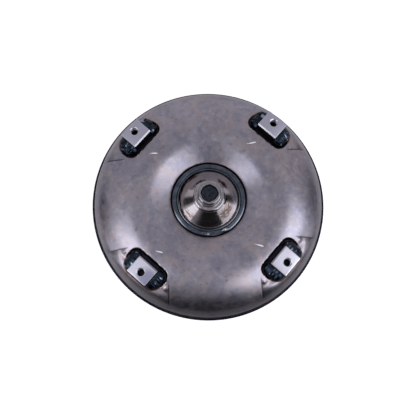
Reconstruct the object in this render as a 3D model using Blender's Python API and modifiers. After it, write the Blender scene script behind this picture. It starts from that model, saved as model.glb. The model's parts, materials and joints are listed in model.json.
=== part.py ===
"""Welded three-element torque converter: front cover with four drive lugs, impeller, turbine and stator.

Metres, +Z towards the engine. The origin is on the axis, at the open end of the pump drive hub.
"""

import bmesh
import bpy
from math import atan2, cos, degrees, pi, radians, sin, sqrt, tan
from mathutils import Matrix, Vector

MM = 0.001
GAP = 0.3 * MM
MERGE = 0.00005

# Driving dimensions of the housing
COVER_RADIUS = 145.2 * MM
COVER_THICKNESS = 4.5 * MM
COVER_CREST_RADIUS = 91 * MM
COVER_CREST_Z = 122 * MM
CREST_ARC = 72 * MM
SHOULDER_ARC = 28 * MM
COVER_INNER_ARC = 52.5 * MM
VALLEY_TILT = 26
RIM_RADIUS = 148 * MM
RIM_Z = 87 * MM
RIM_BAND = 6.5 * MM
RIM_BEAD_RADII = (147.3 * MM, 147.9 * MM)
RIM_BEAD_HEIGHTS = (2.5 * MM, 1.5 * MM)
SKIRT_Z = 81 * MM
BOSS_SEAT_RADIUS = 46.6 * MM
BOSS_SEAT_Z = 103 * MM
RECESS_RADIUS = 47.4 * MM
BOSS_RADIUS = 37 * MM
HOUSING_SIDES = 48
IMPELLER_SIDES = 40
ROUND_SIDES = 32
TURBINE_HUB_SIDES = 28
BEARING_SIDES = 24

# The pilot's cone, shoulder, nose and inner recesses, as (radius, height) in millimetres from the top down
PILOT_NOSE = [(0, 138.8), (8.8, 138.8), (10.4, 140.6), (10.4, 143), (13, 143), (13.6, 142.4)]
PILOT_SHOULDER = [(13.6, 127), (19, 127), (19.6, 126.4), (19.6, 120.6)]
PILOT_CONE = [(18.4, 119.6), (37, 104.9)]
PILOT_INSIDE = [(37, 98.5), (34.3, 98.5), (34.3, 100.8), (19.8, 100.8), (19.8, 115), (0, 115)]
PILOT_BEAD = [(37.4, 106.6), (40, 107.8), (43.7, 107), (46.3, 103.4), (37.4, 103.4)]
PILOT_BUSH_RADII = (17.4 * MM, 19.5 * MM)
PILOT_BUSH_Z = (101.2 * MM, 113 * MM)

# Driving dimensions of the fluid circuit
CIRCUIT_RADIUS = 94 * MM
CORE_RADIUS = 101.5 * MM
IMPELLER_Z = 76 * MM
IMPELLER_SHELL = (46 * MM, 30 * MM)
IMPELLER_WALL = 4 * MM
IMPELLER_CORE = (22.5 * MM, 13 * MM)
IMPELLER_CORE_Z = 75.2 * MM
TURBINE_Z = 77.5 * MM
TURBINE_SHELL = (42.5 * MM, 26.5 * MM)
TURBINE_WALL = 2 * MM
TURBINE_CORE = (21 * MM, 12 * MM)
IMPELLER_BLADES = 23
TURBINE_BLADES = 21
STATOR_BLADES = 13
BLADE_THICKNESS = 1.2 * MM
SHELL_STATIONS = (0, 24, 46, 68, 90, 112, 134)
BLADE_STATIONS = (2, 46, 90, 134)
CORE_THICKNESS = 2 * MM
BLADE_ROOT = 1.2 * MM
IMPELLER_SWEEP = (6, -7)
TURBINE_SWEEP = (-4, 14)

# Drive lugs
LUG_COUNT = 4
LUG_FIRST_ANGLE = radians(45)
LUG_TOP_Z = 130 * MM
LUG_SEAT_Z = 114 * MM
LUG_CENTRE_RADIUS = 119.3 * MM
LUG_BOLT_RADIUS = 121.8 * MM
LUG_SIZE = (23 * MM, 28.2 * MM)
LUG_HOLE_RADIUS = 4.4 * MM
LUG_COUNTERSINK_RADIUS = 5.3 * MM
LUG_EDGE = 0.7 * MM
LUG_CHAMFER = 1.9 * MM
LUG_WELD_RADIUS = 117.8 * MM
LUG_WELD_SIZE = (13.5 * MM, 12.4 * MM, 11 * MM)
SEAT_INNER = (100 * MM, 105 * MM)
SEAT_MIDDLE = 120 * MM
SEAT_OUTER = (133 * MM, 141 * MM)
SEAT_HALF_ANGLE = (radians(15), radians(22.4))

# Pump drive hub
HUB_RADIUS = 26 * MM
HUB_BORE_RADIUS = 20.5 * MM
HUB_FLANGE_RADIUS = 44 * MM
HUB_FLANGE_Z = (54 * MM, 58.2 * MM)
SHELL_FLAT_RADII = (51 * MM, 52.5 * MM)
HUB_PROFILE = [
    (44, 58.2), (44, 54), (29, 54), (26, 51), (26, 1.2), (24.8, 0), (21.7, 0), (20.5, 1.2), (20.5, 58.2),
]
HUB_BEAD = [(47, 53.7), (45.6, 52), (44, 51.5), (42.4, 52), (41, 53.7)]
HUB_SLOT = (9 * MM, 13 * MM)
WEIGHT_ANGLE = radians(20)
WEIGHT_STATION = radians(50)
WEIGHT_SIZE = (10 * MM, 26 * MM, 2.5 * MM)
WEIGHT_EDGE = 0.8 * MM

# Stator and its one-way clutch
STATOR_Z = (65 * MM, 83.2 * MM)
RACE_TRACK_RADIUS = 26 * MM
ROLLER_RADIUS = 4 * MM
ROLLER_COUNT = 6
ROLLER_ORBIT = RACE_TRACK_RADIUS + GAP + ROLLER_RADIUS
ROLLER_ANGLE = radians(-5)
CAM_RADIUS = 41.6 * MM
CAM_SIDES = 26
STATOR_HUB = [
    (50, 88), (50, 62), (45.8, 62), (45.8, 65), (42.3, 65), (42.3, 83.2), (45.8, 83.2),
    (45.8, 86.2), (46.8, 86.2), (46.8, 87.5), (45.8, 87.5), (45.8, 88),
]
SHROUD_RADII = (74.4 * MM, 77.2 * MM)
SHROUD_Z = (66 * MM, 84 * MM)
VANE_SECTION = [(-5, 83), (-1.6, 83.6), (2.6, 79), (4.4, 66.6), (3.2, 66.6), (-0.4, 74.5)]
VANE_ENDS = ((48 * MM, 0.8), (75.4 * MM, 1.25))
INNER_RACE = [
    (22.5, 85.7), (22.5, 83.2), (26, 83.2), (26, 65), (22.5, 65), (22.5, 62.5), (15, 62.5), (15, 85.7),
]
INNER_RACE_SIDES = 30
# Teeth, minor and major radius, and the cutter's ends
INNER_RACE_SPLINE = (15, 17.2 * MM, 18.5 * MM, 60 * MM, 88 * MM)
# One clutch pocket's roof: degrees from the pocket's centre, and radius in millimetres
POCKET_ROOF = (
    (-34, 27.4), (-26, 27.4), (-16, 27.4), (-15, 34.7), (-5, 34.8), (8, 35.3), (21, 36), (22, 27.4),
)
ROLLER_ENDS = (0.5 * MM, 0.8 * MM)
SPRING_ENDS = 4 * MM
SPRING_TURNS = (4.2, 20.6)
SPRING_FOLDS = 5
SPRING_RADII = (32.6 * MM, 28.6 * MM)
SPRING_THICKNESS = 0.45 * MM
SNAP_RING_RADII = (43.2 * MM, 46.1 * MM)
SNAP_RING_Z = (86.5 * MM, 87.2 * MM)
SNAP_RING_GAP = radians(12)
STATOR_PLATE_RADII = (23.1 * MM, 45.3 * MM)
STATOR_REAR_PLATE_Z = (62.2 * MM, 64.7 * MM)
STATOR_FRONT_PLATE_Z = (83.5 * MM, 86 * MM)

# Thrust bearings: each race's inner and outer radius, then its lower and upper face.
# Each cage's inner and outer radius, its mid height, and its needles' radius.
NEEDLES = 10
NEEDLE_MARGIN = 0.8 * MM
CAGE_THICKNESS = 1 * MM
THRUST_RACES = {
    "front_bearing_race": (17.5 * MM, 33 * MM, 95.6 * MM, 96.6 * MM),
    "cover_bearing_race": (21 * MM, 33.8 * MM, 99.5 * MM, 100.5 * MM),
    "rear_bearing_race": (27 * MM, 40.5 * MM, 58.5 * MM, 59.5 * MM),
}
BEARING_CAGES = {
    "front_bearing_cage": (21.5 * MM, 32.5 * MM, 98.05 * MM, 1.1 * MM),
    "middle_bearing_cage": (23.2 * MM, 31 * MM, 87.45 * MM, 1.0 * MM),
    "rear_bearing_cage": (28 * MM, 39.5 * MM, 60.85 * MM, 1.0 * MM),
}

# Turbine hub
RIVET_COUNT = 8
RIVET_CIRCLE = 38 * MM
RIVET_RADIUS = 2.5 * MM
TURBINE_HUB_FLANGE_Z = (91.3 * MM, 95.3 * MM)
TURBINE_PLATE_Z = (89 * MM, 91 * MM)
TURBINE_PLATE_RADII = (29.8 * MM, 53 * MM)
TURBINE_PLATE_RUN = 1 * MM
RIVET_HEAD = (4.2 * MM, 3 * MM, 1.6 * MM)
TURBINE_HUB = [
    (17, 111.6), (17, 95.3), (46, 95.3), (46, 91.3), (29.5, 91.3), (29.5, 88.9),
    (10, 88.9), (10, 112.5), (16.1, 112.5),
]
# Teeth, minor and major radius, and the cutter's ends
TURBINE_SPLINE = (14, 12 * MM, 13.2 * MM, 85 * MM, 116 * MM)

STEEL = (0.42, 0.41, 0.44)
MACHINED = (0.72, 0.71, 0.73)
WELD = (0.10, 0.13, 0.17)
ALUMINIUM = (0.75, 0.76, 0.78)
BRONZE = (0.60, 0.42, 0.22)


def clear_scene():
    for obj in list(bpy.data.objects):
        bpy.data.objects.remove(obj)


def new_collection(name):
    collection = bpy.data.collections.new(name)
    bpy.context.scene.collection.children.link(collection)
    return collection


def new_material(name, colour, roughness, metallic=1.0):
    material = bpy.data.materials.new(name)
    material.use_nodes = True
    surface = material.node_tree.nodes["Principled BSDF"]
    surface.inputs["Base Color"].default_value = (*colour, 1)
    surface.inputs["Roughness"].default_value = roughness
    surface.inputs["Metallic"].default_value = metallic
    return material


clear_scene()
PARTS = new_collection("torque_converter")
CUTTERS = new_collection("cutters")
PRESSED = new_material("pressed_steel", STEEL, 0.32)
TURNED = new_material("machined_steel", MACHINED, 0.22)
WELDED = new_material("weld_bead", WELD, 0.35)
CAST = new_material("cast_aluminium", ALUMINIUM, 0.5)
BEARING = new_material("bronze", BRONZE, 0.3)


# Small helpers

def mm(points):
    """Points given in millimetres, in metres."""
    return [(x * MM, z * MM) for x, z in points]


def add_object(name, mesh, material, collection=None):
    obj = bpy.data.objects.new(name, mesh)
    (collection or PARTS).objects.link(obj)
    mesh.materials.append(material)
    return obj


def from_bmesh(name, bm, material, collection=None):
    mesh = bpy.data.meshes.new(name)
    bm.to_mesh(mesh)
    bm.free()
    return add_object(name, mesh, material, collection)


def baked(obj):
    """The object's modifiers made part of its mesh."""
    bpy.context.view_layer.update()
    graph = bpy.context.evaluated_depsgraph_get()
    obj.data = bpy.data.meshes.new_from_object(obj.evaluated_get(graph))
    obj.modifiers.clear()
    return obj


def smooth(obj, angle=35):
    obj.data.shade_smooth()
    obj.data.set_sharp_from_angle(angle=radians(angle))
    return obj


def turned(name, profile, steps, material, closed=True):
    """A profile of (radius, height) points turned about Z. It runs down its outer side, top to bottom."""
    count = len(profile)
    edges = [(i, i + 1) for i in range(count - 1)]
    if closed:
        edges.append((count - 1, 0))
    mesh = bpy.data.meshes.new(name)
    mesh.from_pydata([(r, 0, z) for r, z in profile], edges, [])
    obj = add_object(name, mesh, material)
    screw = obj.modifiers.new("turn", "SCREW")
    screw.axis = "Z"
    screw.angle = 2 * pi
    screw.steps = steps
    screw.render_steps = steps
    screw.use_merge_vertices = True
    screw.merge_threshold = MERGE
    return smooth(baked(obj))


def ring(name, inner, outer, low, high, steps, material):
    """A plain washer or bush with square edges."""
    return turned(name, [(outer, high), (outer, low), (inner, low), (inner, high)], steps, material)


def combine(obj, other, operation):
    """A Boolean of obj with other, made part of obj's mesh. The other object stays as a hidden cutter."""
    for collection in list(other.users_collection):
        collection.objects.unlink(other)
    CUTTERS.objects.link(other)
    step = obj.modifiers.new(operation.lower(), "BOOLEAN")
    step.operation = operation
    step.object = other
    baked(obj)
    other.hide_render = True
    other.display_type = "WIRE"
    return obj


def prism(name, outline, low, high, material):
    """A flat outline of (x, y) points in metres, extruded from low to high along Z."""
    bm = bmesh.new()
    face = bm.faces.new([bm.verts.new((x, y, low)) for x, y in outline])
    top = bmesh.ops.extrude_face_region(bm, geom=[face])
    moved = [v for v in top["geom"] if isinstance(v, bmesh.types.BMVert)]
    bmesh.ops.translate(bm, verts=moved, vec=(0, 0, high - low))
    bmesh.ops.recalc_face_normals(bm, faces=bm.faces)
    return from_bmesh(name, bm, material)


def cylinder(name, radius, low, high, sides, material, x=0.0, y=0.0, top_radius=None):
    bm = bmesh.new()
    bmesh.ops.create_cone(
        bm, cap_ends=True, segments=sides, radius1=radius,
        radius2=radius if top_radius is None else top_radius, depth=high - low,
        matrix=Matrix.Translation((x, y, (low + high) / 2)),
    )
    return from_bmesh(name, bm, material)


def box(name, size, matrix, material):
    bm = bmesh.new()
    bmesh.ops.create_cube(bm, size=1, matrix=matrix @ Matrix.Diagonal((*size, 1)))
    return from_bmesh(name, bm, material)


def trim(bm, point, normal):
    """Cuts off what lies on the normal's side of a plane, and closes the cut."""
    cut = bmesh.ops.bisect_plane(
        bm, geom=bm.verts[:] + bm.edges[:] + bm.faces[:],
        plane_co=point, plane_no=normal, clear_outer=True,
    )
    rim = [e for e in cut["geom_cut"] if isinstance(e, bmesh.types.BMEdge)]
    bmesh.ops.holes_fill(bm, edges=rim)


def slice_off(mesh, point, normal):
    bm = bmesh.new()
    bm.from_mesh(mesh)
    trim(bm, point, normal)
    bm.to_mesh(mesh)
    bm.free()


def spread(start, end, count):
    """Evenly spaced numbers, both ends included."""
    return [start + (end - start) * i / (count - 1) for i in range(count)]


def arc(centre, radius, start, end, count):
    """Points on an arc in (radius, height), angles in degrees from +X."""
    turns = [radians(turn) for turn in spread(start, end, count)]
    return [(centre[0] + radius * cos(a), centre[1] + radius * sin(a)) for a in turns]


def ellipse(radii, z, stations, centre=CIRCUIT_RADIUS, side=1):
    """Points on the circuit's ellipse, from the rim at 0 degrees over the crest. side is 1 to the front."""
    turns = [radians(station) for station in stations]
    return [(centre + radii[0] * cos(a), z + side * radii[1] * sin(a)) for a in turns]


def smoothstep(low, high, value):
    t = min(1.0, max(0.0, (value - low) / (high - low)))
    return t * t * (3 - 2 * t)


def lug_angles():
    return [LUG_FIRST_ANGLE + 2 * pi * i / LUG_COUNT for i in range(LUG_COUNT)]


def lug_frame(angle, radius, z):
    """A matrix whose X runs outwards from the axis at that angle."""
    return Matrix.Rotation(angle, 4, "Z") @ Matrix.Translation((radius, 0, z))


# Front cover and pilot

def cover_profile():
    """The outer surface, from the pilot boss over the crest and down the skirt."""
    crest = (COVER_CREST_RADIUS, COVER_CREST_Z - CREST_ARC)
    shoulder_r = COVER_RADIUS - SHOULDER_ARC
    reach = CREST_ARC - SHOULDER_ARC
    shoulder_z = crest[1] + sqrt(reach**2 - (shoulder_r - crest[0]) ** 2)
    join = degrees(atan2(shoulder_z - crest[1], shoulder_r - crest[0]))
    inner = (COVER_CREST_RADIUS, COVER_CREST_Z - COVER_INNER_ARC)
    inside = arc(inner, COVER_INNER_ARC, 90 + VALLEY_TILT, 90, 3)
    drop = (inside[0][0] - RECESS_RADIUS) * tan(radians(VALLEY_TILT))
    recess = (RECESS_RADIUS, inside[0][1] - drop)
    seat = [(BOSS_RADIUS + 2 * GAP, BOSS_SEAT_Z), (BOSS_SEAT_RADIUS, BOSS_SEAT_Z), recess]
    top = [
        (r, crest[1] + sqrt(CREST_ARC**2 - (r - crest[0]) ** 2))
        for r in (SEAT_INNER[0], SEAT_INNER[1], SEAT_MIDDLE)
    ]
    side = arc((shoulder_r, shoulder_z), SHOULDER_ARC, join - 3, 0, 4)
    return seat + inside + top + side + [(COVER_RADIUS, SKIRT_Z)]


def seat_share(radius, angle):
    """How far the cover is pressed to a lug's flat seat at that place, from 0 to 1."""
    nearest = min(abs((angle - a + pi) % (2 * pi) - pi) for a in lug_angles())
    across = 1 - smoothstep(*SEAT_HALF_ANGLE, nearest)
    inward = smoothstep(*SEAT_INNER, radius)
    outward = 1 - smoothstep(*SEAT_OUTER, radius)
    return across * inward * outward


def front_cover():
    cover = turned("front_cover", cover_profile(), HOUSING_SIDES, PRESSED, closed=False)
    for vertex in cover.data.vertices:
        x, y, z = vertex.co
        share = seat_share(sqrt(x * x + y * y), atan2(y, x))
        vertex.co.z = z + share * (LUG_SEAT_Z - z)
    wall = cover.modifiers.new("wall", "SOLIDIFY")
    wall.thickness = COVER_THICKNESS
    wall.offset = -1
    return smooth(baked(cover))


def pilot_boss():
    profile = mm(PILOT_NOSE + PILOT_SHOULDER + PILOT_CONE + PILOT_INSIDE)
    return turned("pilot_boss", profile, ROUND_SIDES, TURNED, closed=False)


def pilot_weld():
    return turned("pilot_weld", mm(PILOT_BEAD), ROUND_SIDES, WELDED)


def pilot_bush():
    return ring("pilot_bush", *PILOT_BUSH_RADII, *PILOT_BUSH_Z, BEARING_SIDES, BEARING)


# Drive lugs and their welds

def drive_lug(index, angle):
    low = LUG_SEAT_Z + GAP
    height = LUG_TOP_Z - low
    lug = box(
        f"drive_lug_{index}", (*LUG_SIZE, height),
        lug_frame(angle, LUG_CENTRE_RADIUS, low + height / 2), TURNED,
    )
    edge = lug.modifiers.new("edge", "BEVEL")
    edge.width = LUG_EDGE
    edge.segments = 1
    baked(lug)
    corner = lug_frame(angle, LUG_CENTRE_RADIUS - LUG_SIZE[0] / 2 + LUG_CHAMFER, LUG_TOP_Z)
    slice_off(lug.data, corner.translation, corner.to_3x3() @ Vector((-1, 0, 1)))
    place = lug_frame(angle, LUG_BOLT_RADIUS, 0).translation
    drill = cylinder(
        "lug_drill", LUG_HOLE_RADIUS, low - MM, LUG_TOP_Z + MM, 12, TURNED, place.x, place.y
    )
    combine(lug, drill, "DIFFERENCE")
    depth = LUG_COUNTERSINK_RADIUS - LUG_HOLE_RADIUS
    sink = cylinder(
        "lug_countersink", LUG_HOLE_RADIUS - MM, LUG_TOP_Z - depth - MM, LUG_TOP_Z + MM, 12, TURNED,
        place.x, place.y, top_radius=LUG_COUNTERSINK_RADIUS + MM,
    )
    return combine(lug, sink, "DIFFERENCE")


def lug_weld(index, angle, side, name):
    """A fillet bead against one end of a lug: a quarter of an ellipsoid."""
    start = LUG_SIZE[1] / 2 + GAP
    bm = bmesh.new()
    bmesh.ops.create_uvsphere(bm, u_segments=12, v_segments=6, radius=1)
    bmesh.ops.scale(bm, verts=bm.verts, vec=LUG_WELD_SIZE)
    trim(bm, (0, 0, 0), (0, -1, 0))
    trim(bm, (0, 0, 0), (0, 0, -1))
    if side < 0:
        bmesh.ops.scale(bm, verts=bm.verts, vec=(1, -1, 1))
    bmesh.ops.recalc_face_normals(bm, faces=bm.faces)
    place = lug_frame(angle, LUG_WELD_RADIUS, LUG_SEAT_Z + GAP)
    bm.transform(place @ Matrix.Translation((0, side * start, 0)))
    return smooth(from_bmesh(f"lug_weld_{index}{name}", bm, WELDED))


# Impeller side of the housing

def impeller_shell():
    a, b = IMPELLER_SHELL
    outside = [(RIM_RADIUS, RIM_Z), (RIM_RADIUS, RIM_Z - RIM_BAND)]
    wall = (a + IMPELLER_WALL, b + IMPELLER_WALL)
    outside += ellipse(wall, IMPELLER_Z, (8, *SHELL_STATIONS[1:]), side=-1)
    outside += [(SHELL_FLAT_RADII[0], HUB_FLANGE_Z[0]), (HUB_FLANGE_RADIUS + GAP, HUB_FLANGE_Z[0])]
    inside = [(HUB_FLANGE_RADIUS + GAP, HUB_FLANGE_Z[1]), (SHELL_FLAT_RADII[1], HUB_FLANGE_Z[1])]
    inside += ellipse(IMPELLER_SHELL, IMPELLER_Z, SHELL_STATIONS[::-1], side=-1)
    lip, step = COVER_RADIUS + 2 * GAP, SKIRT_Z - GAP
    inside += [(CIRCUIT_RADIUS + a, step), (lip, step), (lip, RIM_Z)]
    return turned("impeller_shell", outside + inside, IMPELLER_SIDES, PRESSED)


def blade(radii, core_radii, z, core_z, side, lean, twist):
    """One curved vane between a shell and the middle of a core ring's sheet, as a bmesh."""
    count = len(BLADE_STATIONS)
    half = CORE_THICKNESS / 2
    root = (radii[0] - BLADE_ROOT, radii[1] - BLADE_ROOT)
    outer = ellipse(root, z, BLADE_STATIONS, side=side)
    inner = ellipse(
        (core_radii[0] - half, core_radii[1] - half), core_z, BLADE_STATIONS, CORE_RADIUS, side
    )
    bm = bmesh.new()
    rows = []
    for i, pair in enumerate(zip(outer, inner)):
        along = i / (count - 1)
        angle = radians(lean * along + twist * sin(pi * along))
        rows.append([bm.verts.new((r * cos(angle), r * sin(angle), h)) for r, h in pair])
    for first, second in zip(rows, rows[1:]):
        bm.faces.new((first[0], first[1], second[1], second[0]))
    bmesh.ops.triangulate(bm, faces=bm.faces[:])
    bmesh.ops.solidify(bm, geom=bm.faces[:], thickness=BLADE_THICKNESS)
    bmesh.ops.recalc_face_normals(bm, faces=bm.faces)
    return bm


def blade_ring(name, core, shape, blades):
    """A core ring with its vanes joined to it as one piece."""
    ring_object = turned(name, core, blades, PRESSED)
    mesh = bpy.data.meshes.new("vane")
    bm = blade(*shape)
    bm.to_mesh(mesh)
    bm.free()
    gathered = bmesh.new()
    for i in range(blades):
        turn = Matrix.Rotation(2 * pi * i / blades, 4, "Z")
        before = len(gathered.verts)
        gathered.from_mesh(mesh)
        gathered.verts.ensure_lookup_table()
        bmesh.ops.transform(gathered, matrix=turn, verts=gathered.verts[before:])
    vanes = from_bmesh(name + "_vanes", gathered, PRESSED)
    return smooth(combine(ring_object, vanes, "UNION"))


def core_profile(radii, z, side):
    """A thin half ring, open towards the other wheel."""
    stations = (0, *BLADE_STATIONS[1:], 180)
    outer = ellipse(radii, z, stations, CORE_RADIUS, side)
    thin = (radii[0] - CORE_THICKNESS, radii[1] - CORE_THICKNESS)
    inner = ellipse(thin, z, stations[::-1], CORE_RADIUS, side)
    profile = outer + inner
    return profile[::-1] if side > 0 else profile


def impeller_blade_ring():
    core = core_profile(IMPELLER_CORE, IMPELLER_CORE_Z, -1)
    shape = (IMPELLER_SHELL, IMPELLER_CORE, IMPELLER_Z, IMPELLER_CORE_Z, -1, *IMPELLER_SWEEP)
    return blade_ring("impeller_blade_ring", core, shape, IMPELLER_BLADES)


def pump_drive_hub():
    hub = turned("pump_drive_hub", mm(HUB_PROFILE), ROUND_SIDES, TURNED)
    width, depth = HUB_SLOT
    slot = box(
        "hub_slot", (4 * HUB_RADIUS, width, 2 * depth), Matrix.Translation((0, 0, 0)), TURNED
    )
    return combine(hub, slot, "DIFFERENCE")


def hub_weld():
    return turned("hub_weld", mm(HUB_BEAD), ROUND_SIDES, WELDED)


def rim_weld():
    inner, low = COVER_RADIUS + GAP, RIM_Z + GAP
    top, shoulder = RIM_BEAD_HEIGHTS
    profile = [
        (inner, low + top), (RIM_BEAD_RADII[0], low + shoulder), (RIM_BEAD_RADII[1], low), (inner, low),
    ]
    return turned("rim_weld", profile, HOUSING_SIDES, WELDED)


def balance_weight():
    """A small plate lying against the outside of the impeller shell."""
    a = IMPELLER_SHELL[0] + IMPELLER_WALL
    b = IMPELLER_SHELL[1] + IMPELLER_WALL
    across_a, across_b = cos(WEIGHT_STATION), sin(WEIGHT_STATION)
    touch = Vector((CIRCUIT_RADIUS + a * across_a, 0, IMPELLER_Z - b * across_b))
    out = Vector((across_a / a, 0, -across_b / b)).normalized()
    across = Vector((0, 1, 0))
    turn = Matrix((across.cross(out), across, out)).transposed().to_4x4()
    stand = Matrix.Translation(touch + out * (WEIGHT_SIZE[2] / 2 + GAP))
    place = Matrix.Rotation(WEIGHT_ANGLE, 4, "Z") @ stand @ turn
    plate = box("balance_weight", WEIGHT_SIZE, place, PRESSED)
    edge = plate.modifiers.new("edge", "BEVEL")
    edge.width = WEIGHT_EDGE
    edge.segments = 1


# Turbine

def turbine_shell():
    a, b = TURBINE_SHELL
    low, high = TURBINE_PLATE_Z
    edge = TURBINE_PLATE_RADII
    thick = (a + TURBINE_WALL, b + TURBINE_WALL)
    outside = [(edge[0], high), (edge[1] - TURBINE_PLATE_RUN, high)]
    outside += ellipse(thick, TURBINE_Z, SHELL_STATIONS[::-1])
    inside = ellipse(TURBINE_SHELL, TURBINE_Z, SHELL_STATIONS)
    inside += [(edge[1] + TURBINE_PLATE_RUN, low), (edge[0], low)]
    shell = turned("turbine_shell", outside + inside, ROUND_SIDES, PRESSED)
    return rivet_holes(shell)


def rivet_places():
    turns = [2 * pi * (i + 0.5) / RIVET_COUNT for i in range(RIVET_COUNT)]
    return [(RIVET_CIRCLE * cos(a), RIVET_CIRCLE * sin(a)) for a in turns]


def rivet_holes(obj):
    low, high = TURBINE_PLATE_Z[0] - 2 * MM, TURBINE_HUB_FLANGE_Z[1] + 2 * MM
    for x, y in rivet_places():
        drill = cylinder("rivet_drill", RIVET_RADIUS + GAP, low, high, 8, PRESSED, x, y)
        combine(obj, drill, "DIFFERENCE")
    return obj


def turbine_blade_ring():
    core = core_profile(TURBINE_CORE, TURBINE_Z, 1)
    shape = (TURBINE_SHELL, TURBINE_CORE, TURBINE_Z, TURBINE_Z, 1, *TURBINE_SWEEP)
    return blade_ring("turbine_blade_ring", core, shape, TURBINE_BLADES)


def star(teeth, minor, major):
    """The outline of a splined bore: flat-topped teeth between two radii."""
    points = []
    pitch = 2 * pi / teeth
    for i in range(teeth):
        for share, radius in ((0.0, minor), (0.34, minor), (0.5, major), (0.84, major)):
            angle = (i + share) * pitch
            points.append((radius * cos(angle), radius * sin(angle)))
    return points


def splined(obj, teeth, minor, major, low, high):
    cutter = prism("spline_cutter", star(teeth, minor, major), low, high, TURNED)
    return combine(obj, cutter, "DIFFERENCE")


def turbine_hub():
    hub = turned("turbine_hub", mm(TURBINE_HUB), TURBINE_HUB_SIDES, TURNED)
    splined(hub, *TURBINE_SPLINE)
    return smooth(rivet_holes(hub))


def turbine_rivet(index, x, y):
    """A shank with a low head at each end."""
    head, tip, thick = RIVET_HEAD
    low, high = TURBINE_PLATE_Z[0] - GAP, TURBINE_HUB_FLANGE_Z[1] + GAP
    profile = [
        (0, high + thick), (tip, high + thick), (head, high), (RIVET_RADIUS, high),
        (RIVET_RADIUS, low), (head, low), (tip, low - thick), (0, low - thick),
    ]
    rivet = turned(f"turbine_rivet_{index}", profile, 6, TURNED, closed=False)
    rivet.data.transform(Matrix.Translation((x, y, 0)))
    return rivet


# Stator, one-way clutch and bearings

def stator_vane():
    """One aerofoil, from inside the hub wall to inside the shroud."""
    bm = bmesh.new()
    section = mm(VANE_SECTION)
    rows = []
    for radius, widen in VANE_ENDS:
        rows.append([bm.verts.new((radius, y * widen, z)) for y, z in section])
    count = len(section)
    for i in range(count):
        j = (i + 1) % count
        bm.faces.new((rows[0][i], rows[0][j], rows[1][j], rows[1][i]))
    for row in rows:
        bm.faces.new(row)
    bmesh.ops.recalc_face_normals(bm, faces=bm.faces)
    return bm


def stator_wheel():
    sides = 2 * STATOR_BLADES
    wheel = turned("stator_wheel", mm(STATOR_HUB), sides, CAST)
    shroud = ring("stator_shroud", *SHROUD_RADII, *SHROUD_Z, sides, CAST)
    vane = bpy.data.meshes.new("stator_vane")
    bm = stator_vane()
    bm.to_mesh(vane)
    bm.free()
    gathered = bmesh.new()
    for i in range(STATOR_BLADES):
        before = len(gathered.verts)
        gathered.from_mesh(vane)
        gathered.verts.ensure_lookup_table()
        turn = Matrix.Rotation(2 * pi * i / STATOR_BLADES, 4, "Z")
        bmesh.ops.transform(gathered, matrix=turn, verts=gathered.verts[before:])
    vanes = from_bmesh("stator_vanes", gathered, CAST)
    combine(shroud, vanes, "UNION")
    return smooth(combine(wheel, shroud, "UNION"))


def roller_turns():
    return [2 * pi * i / ROLLER_COUNT for i in range(ROLLER_COUNT)]


def cam_outline():
    """The clutch's outer race: a land between pockets whose roof ramps towards one end."""
    points = []
    for turn in roller_turns():
        for offset, radius in POCKET_ROOF:
            angle = turn + radians(offset)
            points.append((radius * MM * cos(angle), radius * MM * sin(angle)))
    return points


def stator_cam_race():
    low, high = STATOR_Z
    race = cylinder("stator_cam_race", CAM_RADIUS, low, high - GAP, CAM_SIDES, TURNED)
    pocket = prism("cam_pockets", cam_outline(), low - MM, high + MM, TURNED)
    return combine(race, pocket, "DIFFERENCE")


def roller(index, turn):
    angle = turn + ROLLER_ANGLE
    low, high = STATOR_Z[0] + ROLLER_ENDS[0], STATOR_Z[1] - ROLLER_ENDS[1]
    x, y = ROLLER_ORBIT * cos(angle), ROLLER_ORBIT * sin(angle)
    return smooth(cylinder(f"clutch_roller_{index}", ROLLER_RADIUS, low, high, 10, TURNED, x, y))


def roller_spring(index, turn):
    """A folded strip that pushes a roller towards the tight end of its pocket."""
    low, high = STATOR_Z[0] + SPRING_ENDS, STATOR_Z[1] - SPRING_ENDS
    bm = bmesh.new()
    rows = []
    for i, degree in enumerate(spread(*SPRING_TURNS, SPRING_FOLDS)):
        angle = turn + radians(degree)
        radius = SPRING_RADII[i % 2]
        x, y = radius * cos(angle), radius * sin(angle)
        rows.append([bm.verts.new((x, y, low)), bm.verts.new((x, y, high))])
    for first, second in zip(rows, rows[1:]):
        bm.faces.new((first[0], second[0], second[1], first[1]))
    strip = from_bmesh(f"roller_spring_{index}", bm, TURNED)
    thick = strip.modifiers.new("strip", "SOLIDIFY")
    thick.thickness = SPRING_THICKNESS
    thick.offset = 0
    return strip


def stator_inner_race():
    race = turned("stator_inner_race", mm(INNER_RACE), INNER_RACE_SIDES, TURNED)
    return smooth(splined(race, *INNER_RACE_SPLINE))


def snap_ring():
    """A flat split ring in the stator's front groove."""
    turns = spread(SNAP_RING_GAP, 2 * pi - SNAP_RING_GAP, 21)
    inner, outer = SNAP_RING_RADII
    outline = [(outer * cos(a), outer * sin(a)) for a in turns]
    outline += [(inner * cos(a), inner * sin(a)) for a in reversed(turns)]
    return prism("stator_snap_ring", outline, *SNAP_RING_Z, TURNED)


def needle_cage(name, inner, outer, middle, radius):
    """A thrust bearing's cage with its needles, as one piece."""
    half = CAGE_THICKNESS / 2
    cage = ring(name, inner, outer, middle - half, middle + half, 2 * NEEDLES, BEARING)
    gathered = bmesh.new()
    length = outer - inner - 2 * NEEDLE_MARGIN
    for i in range(NEEDLES):
        turn = Matrix.Rotation(2 * pi * i / NEEDLES, 4, "Z")
        place = Matrix.Translation(((inner + outer) / 2, 0, middle))
        lie = Matrix.Rotation(pi / 2, 4, "Y")
        bmesh.ops.create_cone(
            gathered, cap_ends=True, segments=6, radius1=radius, radius2=radius, depth=length,
            matrix=turn @ place @ lie,
        )
    rollers = from_bmesh(name + "_needles", gathered, TURNED)
    return combine(cage, rollers, "UNION")


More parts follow.
